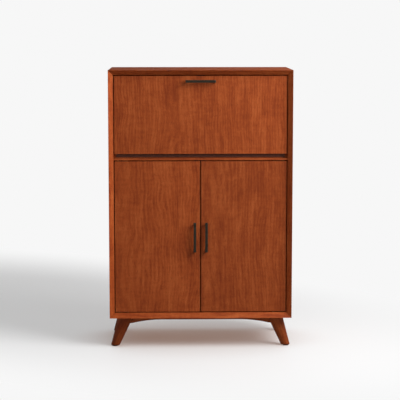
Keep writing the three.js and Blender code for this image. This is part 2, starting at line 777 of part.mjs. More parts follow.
// A stemware rail hangs under the top: a web with a flange on one side or both, which holds the feet
// of the glasses in the next channel
function stemwareRail(leftReach, rightReach) {
  const halfWeb = stemwareWebThickness / 2;
  const bottom = -stemwareWebHeight - stemwareFlangeThickness;
  const r = stemwareEdgeRadius;
  const leftX = -halfWeb - leftReach;
  const rightX = halfWeb + rightReach;
  const shape = new THREE.Shape();
  shape.moveTo(-halfWeb, -seatGap);
  if (leftReach > 0) shape.lineTo(-halfWeb, -stemwareWebHeight);
  if (leftReach > 0) shape.lineTo(leftX, -stemwareWebHeight);
  shape.absarc(leftX + r, bottom + r, r, Math.PI, 3 * Math.PI / 2, false);
  shape.absarc(rightX - r, bottom + r, r, 3 * Math.PI / 2, 2 * Math.PI, false);
  if (rightReach > 0) shape.lineTo(rightX, -stemwareWebHeight);
  if (rightReach > 0) shape.lineTo(halfWeb, -stemwareWebHeight);
  shape.lineTo(halfWeb, -seatGap);
  return raiseY(shape, [0, stemwareLength]);
}

function buildStemwareRails() {
  const reach = stemwareFlangeReach;
  const rails = [['left', -1, 0, reach], ['middle', 0, reach, reach], ['right', 1, reach, 0]];
  for (const [word, step, leftReach, rightReach] of rails) {
    const x = stemwareRackCenter + step * stemwarePitch;
    const rail = stemwareRail(leftReach, rightReach);
    place(cabinet, `stemware_rail_${word}`, rail, walnutStain(), [x, stemwareFrontY, caseCeilingZ]);
  }
}

// Bottle rails cross the right cupboard. In its own frame the axis of the bottles is at z = 0,
// and each rail has one scoop in its top edge for every bottle.
function bottleRail(radius, drop) {
  const left = partitionFaceX + seatGap;
  const right = innerHalfWidth - seatGap;
  const pitch = (right - left) / bottleCount;
  const angle = Math.asin(drop / radius);
  const shape = new THREE.Shape();
  shape.moveTo(left, -drop - bottleRailHeight);
  shape.lineTo(right, -drop - bottleRailHeight);
  shape.lineTo(right, -drop);
  for (let i = bottleCount - 1; i >= 0; i -= 1) {
    shape.absarc(left + (i + 1 / 2) * pitch, 0, radius, -angle, angle - Math.PI, true);
  }
  shape.lineTo(left, -drop);
  return raiseY(shape, [0, bottleRailThickness]);
}

function buildBottleRails() {
  const neckY = frontInnerY + neckRailSetBack;
  const bodyY = neckY + bottleRailSpacing;
  for (let row = 0; row < bottleRowCount; row += 1) {
    const z = caseFloorZ + bottleFirstAxisHeight + row * bottleRowPitch;
    const neck = bottleRail(bottleNeckRadius, bottleNeckRailDrop);
    const body = bottleRail(bottleBodyRadius, bottleBodyRailDrop);
    place(cabinet, `bottle_neck_rail_${row + 1}`, neck, walnutStain(), [0, neckY, z]);
    place(cabinet, `bottle_body_rail_${row + 1}`, body, walnutStain(), [0, bodyY, z]);
  }
}

buildBottomBoard();
buildTopBoard();
buildSides();
buildBackPanel();
buildBarFloor();
buildDividerRail();
buildPartition();
buildLowerShelf();
buildShelfPins();
buildLegs();
buildAprons();
buildFlap();
buildFlapHinge();
buildStays();
buildDoor('left', -1);
buildDoor('right', 1);
buildCatches();
buildStemwareRails();
buildBottleRails();

export default cabinet;
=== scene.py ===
# A bar cabinet on four splayed, tapered legs. The case, flap and doors are boards faced with
# walnut-stained veneer under a satin lacquer; the pulls are cast bronze and the stays are brass.
# Metres, +Z up, front towards -Y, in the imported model's own frame.
import math

import bmesh
import bpy
import numpy as np
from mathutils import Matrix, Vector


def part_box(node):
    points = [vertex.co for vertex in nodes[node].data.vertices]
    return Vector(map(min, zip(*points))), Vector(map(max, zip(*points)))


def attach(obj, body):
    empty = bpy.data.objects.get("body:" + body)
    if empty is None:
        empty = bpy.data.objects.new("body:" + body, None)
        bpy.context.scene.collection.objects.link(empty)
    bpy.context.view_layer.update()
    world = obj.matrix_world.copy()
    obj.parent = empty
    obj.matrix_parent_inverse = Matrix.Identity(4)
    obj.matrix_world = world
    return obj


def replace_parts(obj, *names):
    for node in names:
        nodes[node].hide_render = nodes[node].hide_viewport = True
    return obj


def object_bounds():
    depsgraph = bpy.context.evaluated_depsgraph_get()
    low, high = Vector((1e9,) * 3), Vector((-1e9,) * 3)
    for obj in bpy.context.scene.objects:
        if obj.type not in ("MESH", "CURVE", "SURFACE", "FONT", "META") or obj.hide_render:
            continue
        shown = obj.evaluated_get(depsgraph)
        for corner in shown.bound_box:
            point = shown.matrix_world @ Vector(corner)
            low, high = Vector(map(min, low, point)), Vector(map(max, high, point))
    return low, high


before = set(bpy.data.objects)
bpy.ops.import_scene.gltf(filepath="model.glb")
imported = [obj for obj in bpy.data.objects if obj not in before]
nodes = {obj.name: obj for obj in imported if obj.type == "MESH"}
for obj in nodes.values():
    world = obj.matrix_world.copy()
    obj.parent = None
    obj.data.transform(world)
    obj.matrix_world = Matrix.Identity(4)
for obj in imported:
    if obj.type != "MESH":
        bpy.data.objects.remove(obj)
cad_low, cad_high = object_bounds()


# Case: four boards mitred at the corners and glued, with a 45 degree slope worked all round
# the front. The grain runs along each board, and the long corners are eased with fine paper
# before the stain, which takes a little lighter on them.
case_arris = 0.0018
case_board = 0.024
mitre_pull = 0.0002
mitre_slack = 0.0001
log_turn = 0.55
grain_across = (0.0, math.pi / 2, log_turn)
grain_upright = (0.0, 0.0, log_turn)
stain_dark = (0.182, 0.0290, 0.0058)
stain_middle = (0.280, 0.0540, 0.0107)
stain_light = (0.374, 0.0860, 0.0205)
stain_pore = (0.070, 0.0110, 0.0020)
stain_stops = [(0.38, stain_dark), (0.50, stain_middle), (0.62, stain_light)]
fibre_stain = 0.22
pore_stain = 0.60
pore_edge = (0.57, 0.68)
usual_noise = (0.3, 0.7)
lacquer_roughness = (0.50, 0.62)
glancing_range = (0.70, 0.97)
glancing_matt = 0.38
across_heart = (0.31, 0.07, 0.40)
upright_heart = (0.46, 0.21, -0.90)
# Painted shade: the top board is stained darker than the other boards to hold back the light the lamp
# throws on the top.
top_shaded_tone = 1.02
board_tone = 1.14
rubbed_gain = 1.16
mitre_dark_to = 0.0003
mitre_clear_from = 0.0009
mitre_darkness = 0.62

# Grains of each marking of the wood in a metre, across the fibres and along them.
sway_grains = (3.2, 1.9)
sway_reach = 0.13
ring_grains = (1.0, 0.11)
streak_grains = (48.0, 6.5)
fleck_grains = (300.0, 38.0)
cloud_grains = (19.0, 3.2)
curl_grains = (16.0, 58.0)
fibre_grains = (900.0, 14.0)
pore_grains = (1300.0, 55.0)

# The share that the rings have in the shade, and the other markings in what the rings leave.
ring_share = 0.06
streak_share = 0.50
fleck_share = 0.10
cloud_share = 0.27
curl_share = 0.13
fibre_relief = 0.5
pore_relief = -1.0


def shader(tree, kind, inputs=None, **settings):
    """Adds a shader node, sets its properties, and sets or links each named input."""
    made = tree.nodes.new(kind)
    for name, value in settings.items():
        setattr(made, name, value)
    for socket, value in (inputs or {}).items():
        if isinstance(value, bpy.types.NodeSocket):
            tree.links.new(value, made.inputs[socket])
        else:
            made.inputs[socket].default_value = value
    return made


def scaled(tree, vector, across, along):
    """Coordinates multiplied by so many grains a metre across the fibres and along them."""
    inputs = {0: vector, 1: (across, across, along)}
    return shader(tree, "ShaderNodeVectorMath", inputs, operation="MULTIPLY").outputs[0]


def noise(tree, vector, across, along, detail=2.0, roughness=0.5, distortion=0.0):
    """Cloudy noise whose grains are stretched along the local Z axis."""
    inputs = {
        "Vector": scaled(tree, vector, across, along), "Scale": 1.0, "Detail": detail,
        "Roughness": roughness, "Distortion": distortion,
    }
    return shader(tree, "ShaderNodeTexNoise", inputs).outputs[0]


def ramp(tree, factor, stops):
    """Colour along a line of (place, (red, green, blue)) stops."""
    made = shader(tree, "ShaderNodeValToRGB", {0: factor})
    band = made.color_ramp.elements
    while len(band) < len(stops):
        band.new(0.5)
    for element, (spot, colour) in zip(band, stops):
        element.position = spot
        element.color = (*colour, 1.0)
    return made.outputs[0]


def stretch(tree, value, low, high, new_low=0.0, new_high=1.0):
    """Carries the range low to high onto new_low to new_high, and clamps what lies outside."""
    inputs = {0: value, 1: low, 2: high, 3: new_low, 4: new_high}
    return shader(tree, "ShaderNodeMapRange", inputs).outputs[0]


def worked(tree, operation, *values):
    """One step of arithmetic on numbers or sockets."""
    return shader(tree, "ShaderNodeMath", dict(enumerate(values)), operation=operation).outputs[0]


def weighed(tree, parts):
    """The sum of each value times its weight."""
    total = 0.0
    for value, weight in parts:
        total = worked(tree, "MULTIPLY_ADD", value, weight, total)
    return total


def tinted(tree, factor, first, second, blend="MIX"):
    """Two colours mixed by a factor, in the given way."""
    inputs = {0: factor, 6: first, 7: second}
    return shader(tree, "ShaderNodeMix", inputs, data_type="RGBA", blend_type=blend).outputs[2]


def blank_material(name):
    """An empty material, its node tree, and the piece's own coordinates in metres."""
    material = bpy.data.materials.new(name)
    material.use_nodes = True
    tree = material.node_tree
    tree.nodes.clear()
    return material, tree, shader(tree, "ShaderNodeTexCoord").outputs["Object"]


def finish_surface(tree, inputs):
    """Puts the last shader on the material's output."""
    surface = shader(tree, "ShaderNodeBsdfPrincipled", inputs)
    shader(tree, "ShaderNodeOutputMaterial", {"Surface": surface.outputs[0]})


def stained_wood(name, grain, heart, tone=1.0, shaded=None):
    """Open-pored wood: arched rings of the flat-cut log, soft streaks that sway a little, the
    cloudy take-up of the stain, faint bars of curl across the grain, fine fibres and short dark
    pores. The heart is the place of the log's middle, in coordinates turned so that Z runs
    along the grain. Where a board has a seam or grows darker towards an end, shaded gives how dark it is
    there."""
    material, tree, place = blank_material(name)
    inputs = {"Vector": place, "Rotation": grain, "Location": heart}
    straight = shader(tree, "ShaderNodeMapping", inputs).outputs[0]
    drift = noise(tree, straight, *sway_grains, detail=3.0)
    drift = shader(tree, "ShaderNodeCombineXYZ", {0: drift}).outputs[0]
    inputs = {0: drift, "Scale": sway_reach}
    sway = shader(tree, "ShaderNodeVectorMath", inputs, operation="SCALE").outputs[0]
    local = shader(tree, "ShaderNodeVectorMath", {0: straight, 1: sway}, operation="ADD").outputs[0]
    inputs = {
        "Vector": scaled(tree, local, *ring_grains), "Scale": 24.0, "Distortion": 6.0, "Detail": 3.0,
        "Detail Scale": 0.8, "Detail Roughness": 0.6,
    }
    wave = shader(tree, "ShaderNodeTexWave", inputs, wave_type="RINGS", rings_direction="SPHERICAL")
    streaks = noise(tree, local, *streak_grains, detail=6.0, roughness=0.74, distortion=0.5)
    flecks = noise(tree, local, *fleck_grains)
    cloud = noise(tree, local, *cloud_grains, detail=4.0, distortion=0.35)
    curl = noise(tree, local, *curl_grains, distortion=0.5)
    fibres = noise(tree, local, *fibre_grains)
    pores = stretch(tree, noise(tree, local, *pore_grains, detail=1.0), *pore_edge)
    rest = 1.0 - ring_share
    shade = weighed(tree, [
        (wave.outputs[1], ring_share), (streaks, streak_share * rest),
        (flecks, fleck_share * rest), (cloud, cloud_share * rest), (curl, curl_share * rest),
    ])
    colour = ramp(tree, shade, stain_stops)
    soaked = stretch(tree, fibres, *usual_noise, 0.0, fibre_stain)
    colour = tinted(tree, soaked, colour, (*stain_dark, 1.0))
    filled = stretch(tree, pores, 0.0, 1.0, 0.0, pore_stain)
    colour = tinted(tree, filled, colour, (*stain_pore, 1.0))
    colour = tinted(tree, 1.0, colour, (tone, tone, tone, 1.0), "MULTIPLY")
    if shaded:
        colour = tinted(tree, shaded(tree, place), colour, (*stain_pore, 1.0))
    height = weighed(tree, [(fibres, fibre_relief), (pores, pore_relief)])
    inputs = {"Strength": 0.25, "Distance": 0.0003, "Height": height}
    normal = shader(tree, "ShaderNodeBump", inputs).outputs[0]
    gloss = stretch(tree, fibres, *usual_noise, *lacquer_roughness)
    glancing = shader(tree, "ShaderNodeLayerWeight", {"Blend": 0.5}).outputs["Facing"]
    matt = stretch(tree, glancing, *glancing_range, 0.0, glancing_matt)
    roughness = worked(tree, "ADD", gloss, matt)
    finish_surface(tree, {
        "Base Color": colour, "Roughness": roughness, "Specular IOR Level": 0.10, "Normal": normal,
    })
    return material


def link_piece(name, mesh, materials, body):
    """A new piece at the origin, with its place in its mesh, that rides on a body."""
    for material in materials:
        mesh.materials.append(material)
    piece = bpy.data.objects.new(name, mesh)
    bpy.context.scene.collection.objects.link(piece)
    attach(piece, body)
    return piece


def merged_copy(node, name):
    """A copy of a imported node's mesh with its loose triangles merged and its flat faces made whole."""
    mesh = nodes[node].data.copy()
    mesh.name = name
    mesh.materials.clear()
    shape = bmesh.new()
    shape.from_mesh(mesh)
    bmesh.ops.remove_doubles(shape, verts=shape.verts, dist=1e-6)
    bmesh.ops.dissolve_limit(shape, angle_limit=math.radians(0.5), verts=shape.verts, edges=shape.edges)
    shape.to_mesh(mesh)
    shape.free()
    return mesh


def outer_edges(node, pairs, along=None):
    """True for the edges, given by their two ends, that lie in two faces of the node's box, or
    for only those of them that run along one axis."""
    reach = 0.0004
    low, high = (np.array(corner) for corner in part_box(node))
    held = np.all(np.abs(pairs - low) < reach, axis=1) | np.all(np.abs(pairs - high) < reach, axis=1)
    chosen = held.sum(axis=1) >= 2
    return chosen if along is None else chosen & ~held[:, "XYZ".index(along)]


def eased(node, body, radius, materials, along=None, mitred=0.0):
    """A node's own shape with its outer corners eased to a radius. The eased strips take the
    last of the materials. On a board with mitred ends of a given depth, every corner in them is
    moved out along the board to where glue pulls the joint shut."""
    mesh = merged_copy(node, f"{node}_eased")
    ends = np.empty(len(mesh.edges) * 2, np.int32)
    mesh.edges.foreach_get("vertices", ends)
    spots = np.empty(len(mesh.vertices) * 3, np.float32)
    mesh.vertices.foreach_get("co", spots)
    spots = spots.reshape(-1, 3)
    pairs = spots[ends.reshape(-1, 2)]
    weights = mesh.attributes.new("bevel_weight_edge", "FLOAT", "EDGE")
    weights.data.foreach_set("value", outer_edges(node, pairs, along).astype(np.float32))
    if mitred:
        axis = "XYZ".index(along)
        low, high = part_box(node)
        way = spots[:, axis] - (low[axis] + high[axis]) / 2
        in_mitre = np.abs(way) > (high[axis] - low[axis]) / 2 - mitred - mitre_slack
        spots[:, axis] += np.where(in_mitre, np.sign(way) * mitre_pull, 0.0)
        mesh.vertices.foreach_set("co", spots.ravel())
    piece = link_piece(f"{node}_eased", mesh, materials, body)
    easing = piece.modifiers.new("eased corners", "BEVEL")
    easing.width = radius
    easing.segments = 3
    easing.limit_method = "WEIGHT"
    easing.material = len(materials) - 1
    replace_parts(piece, node)


def mitre_line(tree, place):
    """Dark within half a millimetre of the four mitres, whose planes lie where the ways in from
    the nearest side and from the top or the bottom are equal."""
    parts = shader(tree, "ShaderNodeSeparateXYZ", {0: place}).outputs
    half_height = (case_top_z - case_bottom_z) / 2
    from_middle = worked(tree, "ABSOLUTE", parts["X"])
    off_middle = worked(tree, "SUBTRACT", parts["Z"], case_bottom_z + half_height)
    off_middle = worked(tree, "ABSOLUTE", off_middle)
    apart = weighed(tree, [(from_middle, 1.0), (off_middle, -1.0)])
    apart = worked(tree, "SUBTRACT", apart, cad_high.x - half_height)
    apart = worked(tree, "ABSOLUTE", apart)
    return stretch(tree, apart, mitre_dark_to, mitre_clear_from, mitre_darkness, 0.0)


case_bottom_z, case_top_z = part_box("bottom_board")[0].z, cad_high.z
for board, axis in (("top_board", "X"), ("bottom_board", "X"), ("left_side", "Z"), ("right_side", "Z")):
    grain, heart = (grain_across, across_heart) if axis == "X" else (grain_upright, upright_heart)
    tone = top_shaded_tone if board == "top_board" else board_tone
    wood = stained_wood(f"{board}_veneer", grain, heart, tone=tone, shaded=mitre_line)
    rubbed = stained_wood(f"{board}_rubbed", grain, heart, tone=rubbed_gain * tone, shaded=mitre_line)
    eased(board, "root", case_arris, [wood, rubbed], along=axis, mitred=case_board)


# Back: a plywood panel slid into grooves in the case and held to the bar floor and to the
# partition with small zinc brads. It is stained like the case, only plainer.
brad_radius = 0.0018
brad_pitch = 0.118
brad_proud = 0.0002
pebble_grains = 2600.0
patch_stops = ((0.35, 0.80), (0.5, 1.0), (0.65, 1.18))
smooth_up_to = math.radians(35.0)


def dress(material, *names):
    """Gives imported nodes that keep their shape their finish."""
    for name in names:
        for spot in nodes[name].material_slots:
            spot.material = material


def surface(name, points, wrap=False):
    """A closed mesh from grids of points, shaped (..., rows, columns, 3). Each square of four
    neighbouring points is a face, points that fall together at a pole are merged, and low
    corners are shaded smooth."""
    rows, columns = points.shape[-3:-1]
    spots = points.reshape(-1, 3)
    first = np.arange(rows * columns).reshape(rows, columns)
    beside = np.roll(first, -1, axis=1) if wrap else first[:, 1:]
    here = first if wrap else first[:, :-1]
    corners = np.stack([here[:-1], beside[:-1], beside[1:], here[1:]], axis=-1).reshape(-1, 4)
    offsets = np.arange(len(spots) // (rows * columns)) * rows * columns
    faces = (corners[None] + offsets[:, None, None]).reshape(-1, 4)
    mesh = bpy.data.meshes.new(name)
    mesh.from_pydata(spots.tolist(), [], faces.tolist())
    shape = bmesh.new()
    shape.from_mesh(mesh)
    bmesh.ops.remove_doubles(shape, verts=shape.verts, dist=1e-7)
    bmesh.ops.recalc_face_normals(shape, faces=shape.faces)
    shape.to_mesh(mesh)
    shape.free()
    mesh.polygons.foreach_set("use_smooth", np.ones(len(mesh.polygons), bool))
    mesh.set_sharp_from_angle(angle=smooth_up_to)
    return mesh


def fastener_heads(name, spots, normal, radius, height, crossed):
    """Round heads on a face. A square grid (a, b) is drawn round into a disc by
    x = a sqrt(1 - b b / 2), y = b sqrt(1 - a a / 2); the disc stands proud by the height times
    one minus half the radius squared, a cross is pressed into it, and its rim goes down into
    the wood, where it closes."""
    slot_half, slot_reach, slope, shoulder = 0.13, 0.58, 0.035, 0.86
    slot_depth, rim_depth, golden_turn = 0.35, 0.4, 2.399
    upper = [slot_half - slope, slot_half, slot_reach - slope, slot_reach, shoulder, 1.0, 1.0, 1.0]
    lines = np.array([-value for value in reversed(upper)] + upper)
    ring = np.minimum(np.arange(len(lines)), len(lines) - 1 - np.arange(len(lines)))
    a, b = np.meshgrid(lines, lines, indexing="ij")
    level = np.minimum(*np.meshgrid(ring, ring, indexing="ij"))
    x, y = a * np.sqrt(1 - b * b / 2), b * np.sqrt(1 - a * a / 2)
    across, reach = np.minimum(abs(a), abs(b)), np.maximum(abs(a), abs(b))
    pressed = (across < slot_half - slope / 2) & (reach < slot_reach - slope / 2)
    z = height * (1 - 0.5 * (x * x + y * y)) - slot_depth * radius * (pressed & crossed)
    z = np.where(level < 2, -rim_depth * radius, z)
    spread = np.where(level == 0, 0.0, radius)
    local = np.stack([x * spread, y * spread, z], axis=-1)
    up = np.array(normal, float)
    side = np.cross(up, (0.0, 0.0, 1.0) if abs(up[2]) < 0.5 else (0.0, 1.0, 0.0))
    spots = np.asarray(spots, float)
    twist = np.arange(len(spots))[:, None] * golden_turn
    first = np.cos(twist) * side + np.sin(twist) * np.cross(up, side)
    basis = np.stack([first, np.cross(up, first), np.broadcast_to(up, first.shape)], axis=1)
    return surface(name, np.einsum("ijk,nkm->nijm", local, basis) + spots[:, None, None, :])


def fasteners(name, spots, normal, radius, height, body, material, crossed=True):
    """One piece of all the like heads on a face."""
    heads = fastener_heads(name, spots, normal, radius, height, crossed)
    return link_piece(name, heads, [material], body)


def row_between(low, high, pitch):
    """Evenly spaced places from low to high, about a pitch apart."""
    return np.linspace(low, high, int(round((high - low) / pitch)) + 1)


def crossing(first, second, third):
    """Every combination of three lists of coordinates, as points."""
    return np.stack(np.meshgrid(first, second, third, indexing="ij"), axis=-1).reshape(-1, 3)


def uneven_metal(name, colour, metallic, roughness, spread, grains):
    """Metal with a slightly patchy finish and a faintly pebbled surface."""
    material, tree, place = blank_material(name)
    patch = noise(tree, place, grains, grains, detail=3.0)
    pebbles = noise(tree, place, pebble_grains, pebble_grains, detail=1.0)
    stops = [(spot, tuple(gain * part for part in colour)) for spot, gain in patch_stops]
    shade = ramp(tree, patch, stops)
    inputs = {"Strength": 0.12, "Distance": 0.0001, "Height": pebbles}
    normal = shader(tree, "ShaderNodeBump", inputs).outputs[0]
    finish_surface(tree, {
        "Base Color": shade, "Metallic": metallic, "Normal": normal,
        "Roughness": stretch(tree, patch, *usual_noise, roughness - spread, roughness + spread),
    })
    return material


zinc = uneven_metal("zinc_plate", (0.40, 0.41, 0.42), metallic=1.0, roughness=0.34, spread=0.08,
                    grains=90.0)
back_wood = stained_wood("back_veneer", grain_upright, heart=(0.08, 0.12, 0.3), tone=0.98)
dress(back_wood, "back_panel")
back_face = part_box("back_panel")[1].y
floor_low, floor_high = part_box("bar_floor")
upright_low, upright_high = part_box("center_partition")
floor_brads_x = row_between(floor_low.x + brad_pitch / 4, floor_high.x - brad_pitch / 4, brad_pitch)
floor_brads = crossing(floor_brads_x, [back_face], [(floor_low.z + floor_high.z) / 2])
upright_brads_z = row_between(upright_low.z + brad_pitch / 4, upright_high.z - brad_pitch / 2, brad_pitch)
upright_brads = crossing([0.0], [back_face], upright_brads_z)
back_brads = np.concatenate([floor_brads, upright_brads])
fasteners("back_brads", back_brads, (0, 1, 0), brad_radius, brad_proud, "root", zinc,
          crossed=False)


# Inside: the bar floor, the rail under it, the upright between the cupboards and the left
# cupboard's shelf are veneered boards. The shelf lies on four brass pins.
inside_arris = 0.0008
board_wood = stained_wood("inside_boards", grain_across, heart=(0.20, 0.0, 0.1))
upright_wood = stained_wood("inside_upright", grain_upright, heart=(0.10, 0.05, -0.2))
brass = uneven_metal("antique_brass", (0.44, 0.29, 0.115), metallic=1.0, roughness=0.34, spread=0.06,
                     grains=60.0)
eased("bar_floor", "root", inside_arris, [board_wood], along="X")
eased("divider_rail", "root", inside_arris, [board_wood], along="X")
eased("center_partition", "root", inside_arris, [upright_wood], along="Z")
dress(board_wood, "lower_shelf")
dress(brass, *(f"shelf_pin_{side}_{end}" for side in ("left", "right") for end in ("front", "back")))


# Legs: round turned legs that taper to the foot and lean out sideways, stained darker than the
# case, each on a black nylon glide. A curved apron board joins each pair.
leg_splay = math.radians(19.9)
leg_top_radius = 0.0363
leg_foot_radius = 0.0207
leg_foot_easing = 0.0025
leg_columns = 96
leg_side_rows = 14
leg_tone = 0.72
foot_dark_to = 0.004
foot_clear_from = 0.014
foot_darkness = 0.75
nylon_grains = 1800.0
nylon_dark = (0.010, 0.009, 0.008)
nylon_pale = (0.020, 0.018, 0.016)
nylon_roughness = (0.5, 0.7)


def leg_mesh(name, low_z, high_z, foot, lean):
    """A leaning cone cut level. At height h the line of the cone at angle u is reached at
    t = (h + r cos u sin s) / (cos s - k cos u sin s), with the splay s, the foot radius r and
    the taper k. Towards the foot the rings are drawn in along a quarter circle, and the first
    and last ring close to a pole."""
    sine, cosine = math.sin(leg_splay), math.cos(leg_splay)
    taper = (leg_top_radius - leg_foot_radius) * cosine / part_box("bottom_board")[0].z
    turn = np.linspace(0.0, np.pi / 2, 5)
    sides = np.linspace(low_z + leg_foot_easing, high_z, leg_side_rows)[1:]
    foot_rings = low_z + leg_foot_easing * (1 - np.cos(turn))
    heights = np.concatenate([[low_z], foot_rings, sides, [high_z]])[:, None]
    draws = np.concatenate([[0.0], leg_foot_easing * (1 - np.sin(turn)), 0 * sides, [0.0]])[:, None]
    closing = np.concatenate([[0.0], np.ones(len(heights) - 2), [0.0]])[:, None]
    angles = np.linspace(0.0, 2 * np.pi, leg_columns, endpoint=False)[None, :]
    t = (heights + leg_foot_radius * np.cos(angles) * sine) / (cosine - taper * np.cos(angles) * sine)
    radius = leg_foot_radius + taper * t
    middle = heights * sine / cosine
    shrink = closing * (1 - draws / radius)
    x = middle + shrink * (t * sine + radius * np.cos(angles) * cosine - middle)
    y = shrink * radius * np.sin(angles)
    z = np.broadcast_to(heights, x.shape)
    return surface(name, np.stack([foot[0] + lean * x, foot[1] + y, z], axis=-1), wrap=True)


nylon, nylon_tree, nylon_place = blank_material("black_nylon")
nylon_noise = noise(nylon_tree, nylon_place, nylon_grains, nylon_grains)
nylon_colour = ramp(nylon_tree, nylon_noise, list(zip(usual_noise, (nylon_dark, nylon_pale))))
finish_surface(nylon_tree, {
    "Base Color": nylon_colour, "Specular IOR Level": 0.3,
    "Roughness": stretch(nylon_tree, nylon_noise, *usual_noise, *nylon_roughness),
})


def darker_foot(tree, place):
    """Darker at the foot, up to 4 mm above the floor, and clear 14 mm above it."""
    height = shader(tree, "ShaderNodeSeparateXYZ", {0: place}).outputs["Z"]
    return stretch(tree, height, foot_dark_to, foot_clear_from, foot_darkness, 0.0)


for side, lean in (("left", 1), ("right", -1)):
    grain = (0.0, -lean * leg_splay, log_turn)
    heart = (0.02 * lean, 0.03, 0.0)
    leg_wood = stained_wood(f"leg_stain_{side}", grain, heart, tone=leg_tone, shaded=darker_foot)
    for end in ("front", "back"):
        leg, glide = f"leg_{end}_{side}", f"glide_{end}_{side}"
        glide_low, glide_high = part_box(glide)
        foot = (glide_low + glide_high) / 2
        mesh = leg_mesh(f"{leg}_turned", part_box(leg)[0].z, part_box(leg)[1].z, foot, lean)
        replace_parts(link_piece(f"{leg}_turned", mesh, [leg_wood], "root"), leg)
        dress(nylon, glide)
apron_wood = stained_wood("apron_stain", grain_across, heart=(0.05, 0.02, 0.1), tone=leg_tone)
dress(apron_wood, "front_apron", "back_apron")


# Flap: a veneered panel with upright grain that folds down into the shelf. Its eased edges are
# painted dark as shade for the gaps round it. It hangs on one long bronze hinge with countersunk screws in
# both leaves.
flap_arris = 0.0015
flap_heart = (-0.09, 0.27, -1.0)
# Painted shade: the flap's eased edges are stained far darker to darken the gaps round it.
flap_gap_shade_tone = 0.18
hinge_screw_radius = 0.0026
hinge_screw_inset = 0.0055
hinge_screw_count = 12
flush = 0.0001
leaf_gap = 0.0003
flap_wood = stained_wood("flap_veneer", grain_upright, flap_heart)
flap_gap_shade = stained_wood("flap_edge_painted_shade", grain_upright, flap_heart, tone=flap_gap_shade_tone)
eased("flap_panel", "flap", flap_arris, [flap_wood, flap_gap_shade])
hinge_bronze = uneven_metal("hinge_bronze", (0.135, 0.046, 0.028), metallic=0.55, roughness=0.48,
                            spread=0.08, grains=70.0)
dress(hinge_bronze, "flap_hinge_case_leaf", "flap_hinge_flap_leaf", "flap_hinge_pin")
pin_low, pin_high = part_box("flap_hinge_pin")
axis_y, axis_z = (pin_low.y + pin_high.y) / 2, (pin_low.z + pin_high.z) / 2
screw_span = (1 - 1 / hinge_screw_count) * (pin_high.x - pin_low.x)
screw_row = np.linspace(-0.5, 0.5, hinge_screw_count) * screw_span
case_leaf_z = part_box("flap_hinge_case_leaf")[0].z + hinge_screw_inset
flap_leaf_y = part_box("flap_hinge_flap_leaf")[0].y + hinge_screw_inset
fasteners("hinge_screws_case", crossing(screw_row, [axis_y + leaf_gap], [case_leaf_z]), (0, -1, 0),
          hinge_screw_radius, flush, "root", hinge_bronze)
fasteners("hinge_screws_flap", crossing(screw_row, [flap_leaf_y], [axis_z + leaf_gap]), (0, 0, -1),
          hinge_screw_radius, flush, "flap", hinge_bronze)


# Stays: at each side a flat brass arm pivots on a bracket on the flap and slides through a
# guide that swivels on a stud in the case. Round-headed brass screws hold the plates.
stay_screw_radius = 0.0030
stay_screw_height = 0.0009
stay_screw_reach = 0.016
bracket_screw_reach = 0.013
bracket_screw_inset = 0.0055
stay_plate_thickness = 0.002
for side, sign in (("left", -1), ("right", 1)):
    dress(brass, *(f"{part}_{side}" for part in ("stay_plate", "stay_guide", "stay_arm", "flap_bracket")))
    plate_low, plate_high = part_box(f"stay_plate_{side}")
    plate_y, plate_z = (plate_low.y + plate_high.y) / 2, (plate_low.z + plate_high.z) / 2
    wall = plate_high.x if sign > 0 else plate_low.x
    rows = [plate_y - stay_screw_reach, plate_y + stay_screw_reach]
    fasteners(f"stay_plate_screws_{side}", crossing([wall - sign * stay_plate_thickness], rows, [plate_z]),
              (-sign, 0, 0), stay_screw_radius, stay_screw_height, "root", brass)
    base_low, base_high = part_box(f"flap_bracket_{side}")
    base_z = (base_low.z + base_high.z) / 2
    inner_x = base_low.x + bracket_screw_inset if sign > 0 else base_high.x - bracket_screw_inset
    rows = [base_z - bracket_screw_reach, base_z + bracket_screw_reach]
    fasteners(f"flap_bracket_screws_{side}", crossing([inner_x], [base_low.y + stay_plate_thickness], rows),
              (0, 1, 0), stay_screw_radius, stay_screw_height, "flap", brass)


# Doors: two veneered panels with upright grain, on brass pivot leaves let into their top and
# bottom edges, the rail and the case floor. Two countersunk screws hold each leaf.
door_arris = 0.0009
door_hearts = {"left": (0.24, 0.28, -0.4), "right": (-0.26, 0.29, -0.3)}
door_tones = {"left": 1.02, "right": 0.91}
# Painted shade: the doors' eased edges are stained far darker to darken the gaps round them.
door_gap_shade_tone = 0.2
leaf_screw_radius = 0.0030
leaf_screws = (0.018, 0.040)
leaf_pivot_inset = 0.009
case_floor_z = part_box("bottom_board")[1].z
rail_bottom_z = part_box("divider_rail")[0].z
for side, sign in (("left", -1), ("right", 1)):
    door, heart = f"{side}_door", door_hearts[side]
    door_wood = stained_wood(f"{door}_veneer", grain_upright, heart, tone=door_tones[side])
    door_gap_shade = stained_wood(f"{door}_edges", grain_upright, heart, tone=door_gap_shade_tone)
    eased(door, door, door_arris, [door_wood, door_gap_shade])
    door_low, door_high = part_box(door)
    leaf_low, leaf_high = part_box(f"{side}_hinge_bottom_case_leaf")
    pivot_x = leaf_high.x - leaf_pivot_inset if sign > 0 else leaf_low.x + leaf_pivot_inset
    screws_x = [pivot_x - sign * reach for reach in leaf_screws]
    middle_y = [(door_low.y + door_high.y) / 2]
    places = (
        ("bottom_door_leaf", door_low.z, -1, door), ("top_door_leaf", door_high.z, 1, door),
        ("bottom_case_leaf", case_floor_z, 1, "root"), ("top_case_leaf", rail_bottom_z, -1, "root"),
    )
    for leaf, z, up, rider in places:
        dress(brass, f"{side}_hinge_{leaf}")
        fasteners(f"{side}_{leaf}_screws", crossing(screws_x, middle_y, [z]), (0, 0, up),
                  leaf_screw_radius, flush, rider, brass)


